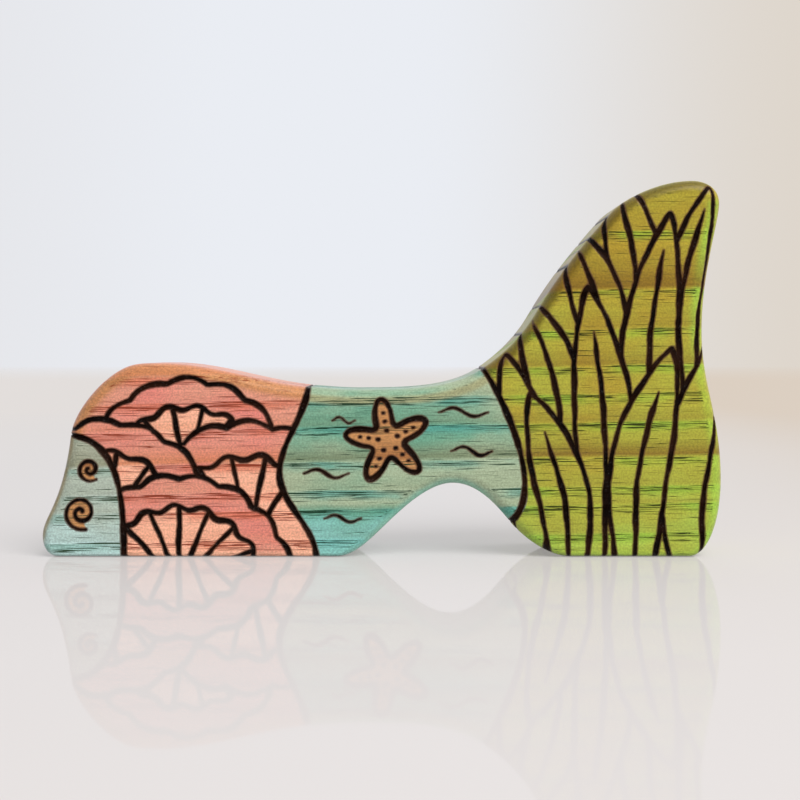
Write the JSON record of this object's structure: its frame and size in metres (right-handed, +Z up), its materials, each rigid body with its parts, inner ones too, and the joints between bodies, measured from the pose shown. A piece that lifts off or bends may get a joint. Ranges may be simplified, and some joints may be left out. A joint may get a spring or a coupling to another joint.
{
  "type": "wooden scenery block",
  "caption": "Free-standing wooden scenery block with a low rounded mound, a saddle over an arch and a leaning pointed tower, in stained, wood-burned pieces that meet face to face.",
  "frame": {"origin": "on the table under the middle of the block's length and thickness", "axes": "+X from the mound to the tower, +Y from the pictured face to the back face, +Z up"},
  "size_m": [0.167, 0.028, 0.0924],
  "materials": {
    "aqua_stain": "satin",
    "salmon_stain": "satin",
    "teal_stain": "satin",
    "green_stain": "satin"
  },
  "bodies": {
    "root": {"aqua_end": "aqua_stain", "salmon_mound": "salmon_stain", "teal_bridge": "teal_stain", "green_tower": "green_stain"}
  },
  "joints": []
}
